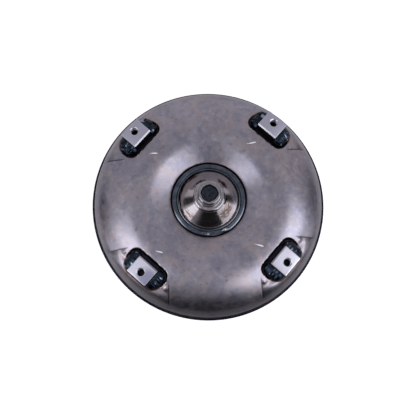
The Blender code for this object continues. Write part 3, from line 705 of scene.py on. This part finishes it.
def painted_glint(index, start, end):
    """A painted glint: a bright tapered streak on the cover, between two (radius, angle) places."""
    steps = 14
    across = Vector((0.1, 1, 0)).normalized()
    points, faces = [], []
    for i in range(steps + 1):
        share = i / steps
        r = start[0] + (end[0] - start[0]) * share
        angle = radians(start[1] + (end[1] - start[1]) * share)
        z = CREST_Z - CREST_ARC + sqrt(CREST_ARC**2 - max(r - CREST_RADIUS, 0) ** 2)
        if r < CREST_RADIUS:
            z = CREST_Z - INNER_ARC + sqrt(INNER_ARC**2 - (r - CREST_RADIUS) ** 2)
        middle = Vector((r * cos(angle), r * sin(angle), z))
        wide = 0.2 + 0.95 * sin(pi * share**1.8) ** 0.7 if 0 < i < steps else 0.08
        for side, up in ((-wide, -0.1), (0, 0.2), (wide, -0.1)):
            points.append(tuple(middle + across * side + Vector((0, 0, up))))
    for i in range(steps):
        for k in range(3):
            a, b = 3 * i + k, 3 * i + (k + 1) % 3
            faces.append((a, b, b + 3, a + 3))
    faces += [(2, 1, 0), (3 * steps, 3 * steps + 1, 3 * steps + 2)]
    mark = add_piece(f"painted_glint_{index}", points, faces, GLINT_WHITE)


# Pilot

# Patches on the pilot's cone: strength, middle and half turn in degrees, radius and width in millimetres
SCORCHES = [
    (1.0, 118, 21, 23.2, 1.4),
    (0.72, 44, 19, 25.4, 2.4),
    (1.3, -16, 13, 20.6, 1.3),
    (0.42, -40, 26, 27.0, 6.0),
    (0.9, 160, 60, 35.6, 1.3),
    (0.60, 122, 14, 33.5, 1.4),
    (0.5, -10, 60, 35.8, 0.9),
    (0.35, 205, 30, 31.0, 3.0),
]
# Painted dark reflections: dull grey patches on the cone at 3 and 9 o'clock
PAINTED_DARK_REFLECTIONS = [
    (0.6, 1, 15, 32.0, 5.5),
    (0.6, 184, 15, 27.0, 7.0),
]


def off_by(angle, degree):
    """How far an angle in radians is from one in degrees, -180 to 180 degrees."""
    return (degrees(angle) - degree + 180) % 360 - 180


def strongest(patches, angle, r):
    """The strongest of the patches at a place. Each is even along its arc and falls to 0 around it."""
    return max(
        strength * exp(-((off_by(angle, middle) / half_turn) ** 4)) * bell(r, radius, width)
        for strength, middle, half_turn, radius, width in patches
    )


def scorch_and_painted_light_of(x, y, z):
    """How scorched the pilot is, with painted shade on the shoulder's side; below 0, how dull and grey, with
    painted dark reflections on the cone.
    """
    r, angle = hypot(x, y), atan2(y, x)
    if z > CONE_TOP[1] + 0.1:
        dull = smoothstep(PILOT_TOP_Z - 6, PILOT_TOP_Z - 2, z) + (0.7 if 13.8 < r < 19.3 else 0)
        # Painted shade on the shoulder's side, below its edge
        scorch_and_shade = 0.75 * smoothstep(125.0, 123.5, z) if r > 19 else 0
        return scorch_and_shade - dull
    return strongest(SCORCHES, angle, r) - strongest(PAINTED_DARK_REFLECTIONS, angle, r)


def pilot_boss():
    """The turned pilot: cone, undercut, shoulder and nose, with the bore behind for the turbine hub."""
    steps = 16
    cone = list(zip(spread(CONE_TOP[0], CONE_FOOT[0], steps), spread(CONE_TOP[1], CONE_FOOT[1], steps)))
    nose = [
        (NOSE_BORE, PILOT_TOP_Z), (NOSE_RADIUS - NOSE_BEVEL, PILOT_TOP_Z),
        (NOSE_RADIUS, PILOT_TOP_Z - NOSE_BEVEL), (NOSE_RADIUS, NOSE_FOOT_Z),
    ]
    undercut = [(SHOULDER[-1][0], CONE_TOP[1] + 1)]
    foot = [(BOSS_RADIUS, z) for z in BOSS_SIDE]
    outline = rounded(nose + SHOULDER + undercut + cone[:2], 0.5) + cone[2:-1]
    outline += rounded(cone[-1:] + foot + BOSS_BORE, 0.5)

    def in_hollow(r, z, edge):
        return r < edge and z > (NOSE_FOOT_Z + PILOT_TOP_Z) / 2

    def warp(r, z, angle):
        lobed = 0.995 + 0.020 * cos(8 * angle + 0.9) + 0.025 * cos(4 * angle + 0.4) + 0.02 * cos(3 * angle)
        return (r * lobed if in_hollow(r, z, NOSE_BORE + 0.05) else r), z

    boss = lathe("pilot_steel", NOSE_HOLLOW + outline, even_turns(180), PILOT_STEEL, warp, closed=False)
    # The hollow's faces take the near-black of painted shade
    boss.data.materials.append(RECESS_SHADE)
    for face in boss.data.polygons:
        place = face.center / MM
        if in_hollow(hypot(place.x, place.y), place.z, NOSE_BORE - 0.2):
            face.material_index = 1
    with_tint_and_painted_light(boss, scorch_and_painted_light_of)
    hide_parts("pilot_boss")


def ripple(angle, count, share=0.35):
    """A weld's overlapping scales: a slow rise and a quick fall, from 0 to 1."""
    phase = (angle * count / (2 * pi)) % 1
    return phase / (1 - share) if phase < 1 - share else (1 - phase) / share


def bump_at(angle, degree, half_width):
    """1 at an angle in degrees, falling smoothly to 0 around it."""
    return bell(off_by(angle, degree), 0, half_width)


# The pilot's weld as (radius, height) points, and where it starts, sinks and stops, in degrees
RING_LINE = [(37.6, 105.2), (38.2, 106.2), (39.1, 106.2), (39.7, 105.2)]
RING_BAND = [(40.4, 106.1), (42.6, 106.8), (44.9, 106.4), (46.1, 105.5), (46.6, 104.6), (46.8, 103.4)]
RING_FOOT = [(37.6, 103.4)]
RING_START, RING_HOLLOW, RING_STOP = -67, -84, -97
RING_RIPPLES = 84


def pilot_weld():
    """The bead round the pilot: a raised line, a smooth band, and lumps where it starts and stops."""
    def warp(r, z, angle):
        crown = sin(pi * min(max((r - 38) / 8, 0), 1))
        wave = 0.06 * ripple(angle + 0.02 * (r - 42), RING_RIPPLES)
        start = 1.5 * bump_at(angle, RING_START, 4) * smoothstep(40.5, 42.5, r)
        stop = 0.8 * bump_at(angle, RING_STOP, 3)
        hollow = 1.1 * bump_at(angle, RING_HOLLOW, 8) * smoothstep(39, 41, r)
        return r, z + crown * (wave + start + stop - hollow)

    def rust_and_painted_highlights(x, y, z):
        angle, r = atan2(y, x), hypot(x, y)
        rust = bump_at(angle, RING_HOLLOW - 4, 5) * bell(r, 42.2, 1.4)
        # Rust beside the hollow; painted highlights: the lit inner ridge, brightest on the sides towards the
        # lamps, glints on the start and stop lumps, and a sheen on the band's lit sides
        lit_sides = max(bump_at(angle, -150, 35), bump_at(angle, -42, 35))
        line = 0.9 * bell(r, 38.7, 0.5) * (0.35 + 0.65 * lit_sides)
        start = 2.2 * bump_at(angle, RING_START, 4) * bell(r, 42.0, 1.1)
        stop = 1.3 * bump_at(angle, RING_STOP, 2.5) * bell(r, 44.8, 1.0)
        sheen = 0.4 * max(bump_at(angle, -150, 16), bump_at(angle, -45, 24)) * smoothstep(39.5, 41, r)
        return rust - max(line, start, stop, sheen)

    outline = rounded(RING_LINE + RING_BAND + RING_FOOT, 0.7)
    bead = lathe("pilot_ring_weld", outline, even_turns(504), RING_BEAD, warp)
    with_tint_and_painted_light(bead, rust_and_painted_highlights)
    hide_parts("pilot_weld")


# Drive lugs

def screw_cutter(bottom, top):
    """The shape of a tapped hole with a chamfered mouth, about Z and proud of the lug's top."""
    minor, major = THREAD_RADII
    around, depth, slope = 40, 0.6, 1.8
    mouth_z = top - HOLE_PROUD
    rows = int((top - bottom) / (THREAD_PITCH / 8)) + 1
    points, faces = [], []
    for i in range(rows):
        z = bottom + (top - bottom) * i / (rows - 1)
        for k in range(around):
            phase = (z / THREAD_PITCH - k / around) % 1
            r = minor + (major - minor) * (1 - abs(2 * phase - 1))
            r = max(r, HOLE_MOUTH - slope * (mouth_z - z)) if z > mouth_z - depth else r
            r = min(r, HOLE_MOUTH + 0.4)
            a = 2 * pi * k / around
            points.append((r * cos(a), r * sin(a), z))
    for i in range(rows - 1):
        for k in range(around):
            a, b = i * around + k, i * around + (k + 1) % around
            faces.append((a, b, b + around, a + around))
    faces.append(list(range(around))[::-1])
    faces.append([(rows - 1) * around + k for k in range(around)])
    mesh = bpy.data.meshes.new("tapped_hole")
    mesh.from_pydata([tuple(c * MM for c in p) for p in points], [], faces)
    return mesh


def lug_mesh():
    """A block with rounded corners and a wide chamfer on its inner edge. X is outwards."""
    bm = bmesh.new()
    low, high = SEAT_Z + WELD_GAP, LUG_TOP_Z
    size = Vector((*LUG_SIZE, high - low)) * MM
    middle = Matrix.Translation(Vector((LUG_CENTRE, 0, (low + high) / 2)) * MM)
    bmesh.ops.create_cube(bm, size=1, matrix=middle @ Matrix.Diagonal((*size, 1)))
    upright = [e for e in bm.edges if abs(e.verts[0].co.z - e.verts[1].co.z) > 1 * MM]
    bmesh.ops.bevel(bm, geom=upright, offset=LUG_CORNER * MM, segments=4, profile=0.5, affect="EDGES")
    top_edges = [e for e in bm.edges if all(v.co.z > (high - 0.1) * MM for v in e.verts)]
    bmesh.ops.bevel(bm, geom=top_edges, offset=LUG_BEVEL * MM, segments=2, profile=0.5, affect="EDGES")
    edge = Vector((LUG_CENTRE - LUG_SIZE[0] / 2 + LUG_CHAMFER, 0, high)) * MM
    parts = bm.verts[:] + bm.edges[:] + bm.faces[:]
    sliced = bmesh.ops.bisect_plane(bm, geom=parts, plane_co=edge, plane_no=(-1, 0, 1), clear_outer=True)
    rim = [e for e in sliced["geom_cut"] if isinstance(e, bmesh.types.BMEdge)]
    bmesh.ops.edgeloop_fill(bm, edges=rim)
    mesh = bpy.data.meshes.new("drive_lug")
    bm.to_mesh(mesh)
    bm.free()
    return mesh


def cut(mesh, cutter, place):
    """The mesh less a cutter's mesh that stands at a place."""
    body, tool = new_object("cut_body", mesh), new_object("cut_tool", cutter)
    tool.location = place
    step = body.modifiers.new("cut", "BOOLEAN")
    step.operation = "DIFFERENCE"
    step.object = tool
    bpy.context.view_layer.update()
    graph = bpy.context.evaluated_depsgraph_get()
    made = bpy.data.meshes.new_from_object(body.evaluated_get(graph))
    for obj in (body, tool):
        bpy.data.objects.remove(obj)
    return made


def drive_lugs():
    """Four copies of the tapped block, with dark threads and bright bevels."""
    hole = screw_cutter(SEAT_Z - 1, LUG_TOP_Z + HOLE_PROUD)
    block = cut(lug_mesh(), hole, Vector((LUG_HOLE, 0, 0)) * MM)
    for index, angle in enumerate(LUG_ANGLES, 1):
        mesh = block.copy()
        mesh.transform(Matrix.Rotation(angle, 4, "Z"))
        mesh.materials.clear()
        for material in (GROUND, THREAD, EDGE):
            mesh.materials.append(material)
        axis = Vector((LUG_HOLE * cos(angle), LUG_HOLE * sin(angle))) * MM
        for face in mesh.polygons:
            z = face.center.z / MM
            in_hole = (face.center.xy - axis).length / MM < HOLE_MOUTH + 0.1
            bevelled = 0.2 < face.normal.z < 0.95 and z > LUG_TOP_Z - LUG_CHAMFER - 0.2
            if in_hole and z < LUG_TOP_Z - 1:
                face.material_index = 1
            elif bevelled:
                face.material_index = 2
        mesh.shade_smooth()
        mesh.set_sharp_from_angle(angle=radians(24))
        lug = new_object(f"lug_{index}", mesh)
        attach(lug, "housing")
        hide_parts(f"drive_lug_{index}")


def lug_weld(index, angle, side, letter):
    """A fillet bead up one side of a lug: a quarter of a fat ellipsoid, with overlapping scales."""
    turn = Matrix.Rotation(angle, 3, "Z")
    seed = index * 7 + (3 if side > 0 else 0)
    root, floor = LUG_SIZE[1] / 2 + WELD_GAP, SEAT_Z + WELD_GAP
    along, around = 120, 26
    points, faces = [], []
    for i in range(along + 1):
        share = 2 * i / along - 1
        fullness = (1 - min(abs(share), 0.999) ** 3.4) ** 0.42
        wander = 0.035 * sin(2.6 * share * pi + seed) + 0.02 * sin(6.1 * share * pi + 2 * seed)
        for k in range(around + 1):
            tilt = pi / 2 * k / around
            across, up = sin(tilt), max(cos(tilt), 0)
            scale = ripple(pi * (share + 1) - 0.22 * across**2, 9)
            size = fullness * (0.945 + wander + 0.016 * scale * sqrt(2 * across * up))
            out = BEAD_CENTRE + BEAD_SIZE[0] * share
            sideways = root + BEAD_SIZE[1] * size * across**0.9
            height = floor + BEAD_SIZE[2] * size * up**0.9
            points.append(tuple(turn @ Vector((out, side * sideways, height))))
        points.append(tuple(turn @ Vector((out, side * root, floor))))
    row = around + 2
    for i in range(along):
        for k in range(row):
            a, b = i * row + k, i * row + (k + 1) % row
            faces.append((a, b, b + row, a + row)[:: 1 if side > 0 else -1])
    first, last = list(range(row)), [along * row + k for k in range(row)]
    faces += [first[::-1], last] if side > 0 else [first, last[::-1]]
    bead = add_piece(f"lug_bead_{index}{letter}", points, faces, BEAD)
    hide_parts(f"lug_weld_{index}{letter}")


# Impeller side

# The impeller's channel: an ellipse's middle as (radius, height), its half axes, and the shell's wall
CHANNEL = (94.0, 76.0)
CHANNEL_SIZE = (46.0, 30.0)
IMPELLER_WALL = 4.0
BLADES = 23
TAB_ROWS = [radians(turn) for turn in (34, 68, 104)]
TAB_SIZE = (3.0, 9.0)
TAB_DEPTH = 0.7

# The drive hub: its flange, sleeve and slots, and the weld round the flange
HUB_FLANGE = (44, 58.2, 54)
HUB_BORE = 20.5
HUB_SLEEVE = 26
HUB_SLOT = (9, 13)
HUB_WELD = [(47, 53.7), (46.6, 52.6), (45.4, 51.9), (44, 51.7), (42.6, 51.9), (41.4, 52.6), (41, 53.7)]


def ellipse(stations, radii):
    """Points on an ellipse about the channel's centre, angles in degrees from outwards, downwards."""
    turns = [radians(station) for station in stations]
    return [(CHANNEL[0] + radii[0] * cos(a), CHANNEL[1] - radii[1] * sin(a)) for a in turns]


def impeller_shell():
    """The rear shell, with a row of dents where each blade's tabs are pressed in."""
    a, b = CHANNEL_SIZE
    outer_a, outer_b = a + IMPELLER_WALL, b + IMPELLER_WALL
    flange, flange_top, flange_low = HUB_FLANGE
    mouth = flange + 0.3
    step, lip = SKIRT_Z - 0.3, COVER_RADIUS + 0.6
    outside = [(RIM_RADIUS - 0.8, RIM_Z), (RIM_RADIUS, RIM_Z - 0.8), (RIM_RADIUS, RIM_Z - 5)]
    outside += ellipse(spread(6, 134, 78), (outer_a, outer_b))
    outside += [(51, flange_low), (mouth, flange_low)]
    inside = [(mouth, flange_top), (52.5, flange_top)] + ellipse(spread(134, 0, 20), (a, b))
    inside += [(CHANNEL[0] + a, step), (lip, step), (lip, RIM_Z)]
    pitch = 2 * pi / BLADES

    def warp(r, z, angle):
        out, down = (r - CHANNEL[0]) / outer_a, (CHANNEL[1] - z) / outer_b
        if abs(hypot(out, down) - 1) > 0.01 or down < 0:
            return r, z
        along = atan2(down, out)
        swirl = 0.35 * (along - TAB_ROWS[1])
        off = ((angle - swirl + pitch / 2) % pitch - pitch / 2) * r
        apart = min(abs(along - row) for row in TAB_ROWS) * (a + b + 2 * IMPELLER_WALL) / 2
        dent = TAB_DEPTH * exp(-((2 * off / TAB_SIZE[0]) ** 4)) * exp(-((2 * apart / TAB_SIZE[1]) ** 4))
        return r - dent * cos(along), z + dent * sin(along)

    def tint_and_painted_light(x, y, z):
        r = hypot(x, y)
        return 0.55 * bell(r, 46, 3.0) + 0.5 * bell(z, RIM_Z, 2.5) * smoothstep(140, 146, r)

    shell = lathe("impeller_skin", outside + inside, even_turns(BLADES * 24), PRESSED, warp)
    with_tint_and_painted_light(shell, tint_and_painted_light)
    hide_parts("impeller_shell")


def rim_weld():
    """The seam between the cover and the impeller shell, with a lump where the bead starts."""
    def warp(r, z, angle):
        scale = 0.22 * ripple(angle, 260)
        lump = 0.4 * bell(angle, radians(86), 0.03)
        up = smoothstep(RIM_Z + 0.3, RIM_Z + 1.5, z)
        return r, z + up * (scale - 0.25 + lump)

    low, out = RIM_Z + 0.1, RIM_RADIUS
    profile = [
        (out - 2.7, low + 1.9), (out - 1.7, low + 1.9), (out - 0.8, low + 1.3),
        (out - 0.2, low + 0.4), (out - 0.1, low), (out - 2.7, low),
    ]
    bead = lathe("rim_bead", rounded(profile, 0.6, 3), even_turns(1040), RIM_BEAD, warp)
    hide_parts("rim_weld")


def pump_hub():
    """The ground drive hub, with a bevelled rim and two drive slots."""
    flange, top, low = HUB_FLANGE
    bevel, fillet = 1.4, 3
    outline = [
        (HUB_BORE, top), (flange, top), (flange, low), (HUB_SLEEVE + fillet, low), (HUB_SLEEVE, low - fillet),
        (HUB_SLEEVE, bevel), (HUB_SLEEVE - bevel, 0), (HUB_BORE + bevel, 0), (HUB_BORE, bevel),
        (HUB_BORE, top),
    ]
    profile = rounded(outline, 0.6, 3)[:-1]
    hub = lathe("pump_hub_sleeve", profile, even_turns(120), TURNED)
    bm = bmesh.new()
    wide, deep = HUB_SLOT
    bmesh.ops.create_cube(bm, size=1, matrix=Matrix.Diagonal((120 * MM, wide * MM, 2 * deep * MM, 1)))
    ends = [[v.co for v in e.verts] for e in bm.edges]
    roots = [e for e, (a, b) in zip(bm.edges, ends) if min(a.z, b.z) > 0 and abs(a.x - b.x) > MM]
    bmesh.ops.bevel(bm, geom=roots, offset=1.5 * MM, segments=4, profile=0.5, affect="EDGES")
    slot = bpy.data.meshes.new("slot")
    bm.to_mesh(slot)
    bm.free()
    hub.data = cut(hub.data.copy(), slot, Vector())
    hub.data.shade_smooth()
    hub.data.set_sharp_from_angle(angle=radians(30))
    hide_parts("pump_drive_hub")


def hub_weld():
    """The bead between the drive hub's flange and the impeller shell."""
    def warp(r, z, angle):
        crown = sin(pi * min(max((r - 41) / 6, 0), 1))
        return r, z - 0.22 * crown * ripple(angle, 90)

    bead = lathe("hub_ring_weld", rounded(HUB_WELD, 0.8, 3), even_turns(450), RING_BEAD, warp)
    with_tint_and_painted_light(bead, lambda x, y, z: 0.0)
    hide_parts("hub_weld")


# Pieces that keep their CAD shape

INSIDE = {
    "machined_steel": TURNED, "pressed_steel": PRESSED, "weld_bead": BEAD,
    "cast_aluminium": CAST, "bronze": BRONZE,
}


def dress_cad_nodes():
    """Every CAD node still shown takes the material of its slot."""
    slots = {part["node"]: part["material_slot"] for part in frame["record"]["subparts"]}
    for name, node in frame["nodes"].items():
        node.data.materials.clear()
        node.data.materials.append(INSIDE[slots[name]])
        node.data.attributes.new("tint_and_painted_light", "FLOAT", "POINT")


# Stage

FLOOR_SIZE = 12
FLOOR_Z = -0.0002


def pale_floor():
    """White from above, grey where the metal mirrors it, dim near the viewer, clear from below."""
    paint = Material("pale_floor", (0.9, 0.9, 0.9), 0.9, metallic=0.0)
    paint.surface.inputs["Emission Color"].default_value = (1, 1, 1, 1)
    paint.surface.inputs["Emission Strength"].default_value = 0.62
    strength = paint.window(paint.axes(paint.place)[1], -0.30, -0.05, 0.14, 0.50)
    mirrored = paint.node("ShaderNodeEmission", {"Color": (1.0, 0.975, 1.07, 1), "Strength": strength})
    path = paint.node("ShaderNodeLightPath")
    choose = paint.node("ShaderNodeMixShader", {
        0: path.outputs["Is Camera Ray"], 1: mirrored.outputs[0], 2: paint.surface.outputs[0],
    })
    below = paint.node("ShaderNodeMixShader", {
        0: paint.node("ShaderNodeNewGeometry").outputs["Backfacing"], 1: choose.outputs[0],
        2: paint.node("ShaderNodeBsdfTransparent").outputs[0],
    })
    paint.feed(below.outputs[0], paint.tree.nodes["Material Output"].inputs["Surface"])
    half = FLOOR_SIZE / 2
    corners = [(-half, -half), (half, -half), (half, half), (-half, half)]
    mesh = bpy.data.meshes.new("floor")
    mesh.from_pydata([(x, y, FLOOR_Z) for x, y in corners], [], [(0, 1, 2, 3)])
    mesh.materials.append(paint.material)
    made = new_object("floor", mesh)


# Softboxes: name, place, size and radiance. All aim at the middle of the cover.
SOFTBOXES = [
    ("left_softbox", (-0.285, -0.115, 0.40), (0.20, 0.24), 2.2),
    ("right_softbox", (0.265, -0.165, 0.41), (0.38, 0.24), 2.3),
    ("left_low_softbox", (-0.86, -0.38, 0.43), (0.48, 0.46), 0.78),
    ("right_low_softbox", (0.81, -0.49, 0.43), (0.90, 0.46), 0.50),
]
LIGHT_AIM = (0, 0, 0.11)


def softbox(name, place, size, radiance):
    """A rectangular softbox of that radiance, out of the camera's sight."""
    lamp = bpy.data.lights.new(name, "AREA")
    lamp.shape = "RECTANGLE"
    lamp.size, lamp.size_y = size
    lamp.energy = radiance * pi * size[0] * size[1]
    lamp.color = (0.96, 0.98, 1.09)
    holder = new_object(name, lamp)
    holder.location = place
    holder.rotation_euler = (Vector(LIGHT_AIM) - holder.location).to_track_quat("-Z", "Y").to_euler()
    holder.visible_camera = False


def room():
    """An even room for the metal to mirror, with a white backdrop for the camera.

    It is dim towards the viewer, with a dark gap low down there and a dark band at each side.
    """
    world = bpy.data.worlds.new("room")
    world.use_nodes = True
    made = Nodes(world.node_tree)
    across, up = made.axes(made.node("ShaderNodeTexCoord").outputs["Generated"])[1:]
    front = made.window(across, -0.78, -0.30, 0.16, 0.47)
    gap = made.window(across, -0.83, -0.66, 0.06, 1.0)
    back = made.window(across, 0.2, 1.0, 1.0, 1.25)
    beside = made.math("ABSOLUTE", made.math("SUBTRACT", across, 0.14))
    beside = made.window(beside, 0.12, 0.26, 1.0, 0.0, "LINEAR")
    level = made.window(made.math("ABSOLUTE", up), 0.32, 0.46, 0.95, 0.0, "LINEAR")
    bands = made.math("SUBTRACT", 1.0, made.math("MULTIPLY", beside, level))
    strength = made.math("MULTIPLY", made.math("MULTIPLY", made.math("MULTIPLY", front, gap), back), bands)
    sky = made.tree.nodes["Background"]
    sky.inputs["Color"].default_value = (1.0, 0.97, 1.08, 1)
    made.feed(strength, sky.inputs["Strength"])
    seen = made.node("ShaderNodeLightPath").outputs["Is Camera Ray"]
    backdrop = made.node("ShaderNodeBackground", {"Color": (1, 1, 1, 1)}).outputs[0]
    choose = made.node("ShaderNodeMixShader", {0: seen, 1: sky.outputs[0], 2: backdrop})
    made.feed(choose.outputs[0], made.tree.nodes["World Output"].inputs[0])
    bpy.context.scene.world = world


# The view: straight above but for a small tilt, turn and roll
VIEW_TILT, VIEW_TURN, VIEW_ROLL = radians(10.86), radians(-9.71), radians(5.8)
VIEW_DISTANCE = 0.6623
VIEW_AIM = (-0.00114, -0.00688, (RIM_Z - 1) * MM)
SENSOR_WIDTH, FOCAL_LENGTH = 36, 44.73


def camera():
    """Almost straight above, a little towards the viewer, and turned slightly."""
    back = Vector((sin(VIEW_TURN) * sin(VIEW_TILT), -cos(VIEW_TURN) * sin(VIEW_TILT), cos(VIEW_TILT)))
    right = Vector((cos(VIEW_TURN), sin(VIEW_TURN), 0))
    up = back.cross(right)
    turned_right = cos(VIEW_ROLL) * right + sin(VIEW_ROLL) * up
    turned_up = cos(VIEW_ROLL) * up - sin(VIEW_ROLL) * right
    eye = Vector(VIEW_AIM) + back * VIEW_DISTANCE
    lens = bpy.data.cameras.new("camera")
    lens.sensor_width = SENSOR_WIDTH
    lens.lens = FOCAL_LENGTH
    holder = new_object("camera", lens)
    axes = Matrix((turned_right, turned_up, back)).transposed()
    holder.matrix_world = Matrix.Translation(eye) @ axes.to_4x4()
    bpy.context.scene.camera = holder


front_cover()
for number, (first, last) in enumerate(GLINT_MARKS, 1):
    painted_glint(number, first, last)
pilot_boss()
pilot_weld()
drive_lugs()
for number, direction in enumerate(LUG_ANGLES, 1):
    lug_weld(number, direction, 1, "a")
    lug_weld(number, direction, -1, "b")
impeller_shell()
rim_weld()
pump_hub()
hub_weld()
dress_cad_nodes()

pale_floor()
for lamp_settings in SOFTBOXES:
    softbox(*lamp_settings)
room()
camera()
bpy.context.scene.view_settings.view_transform = "Standard"
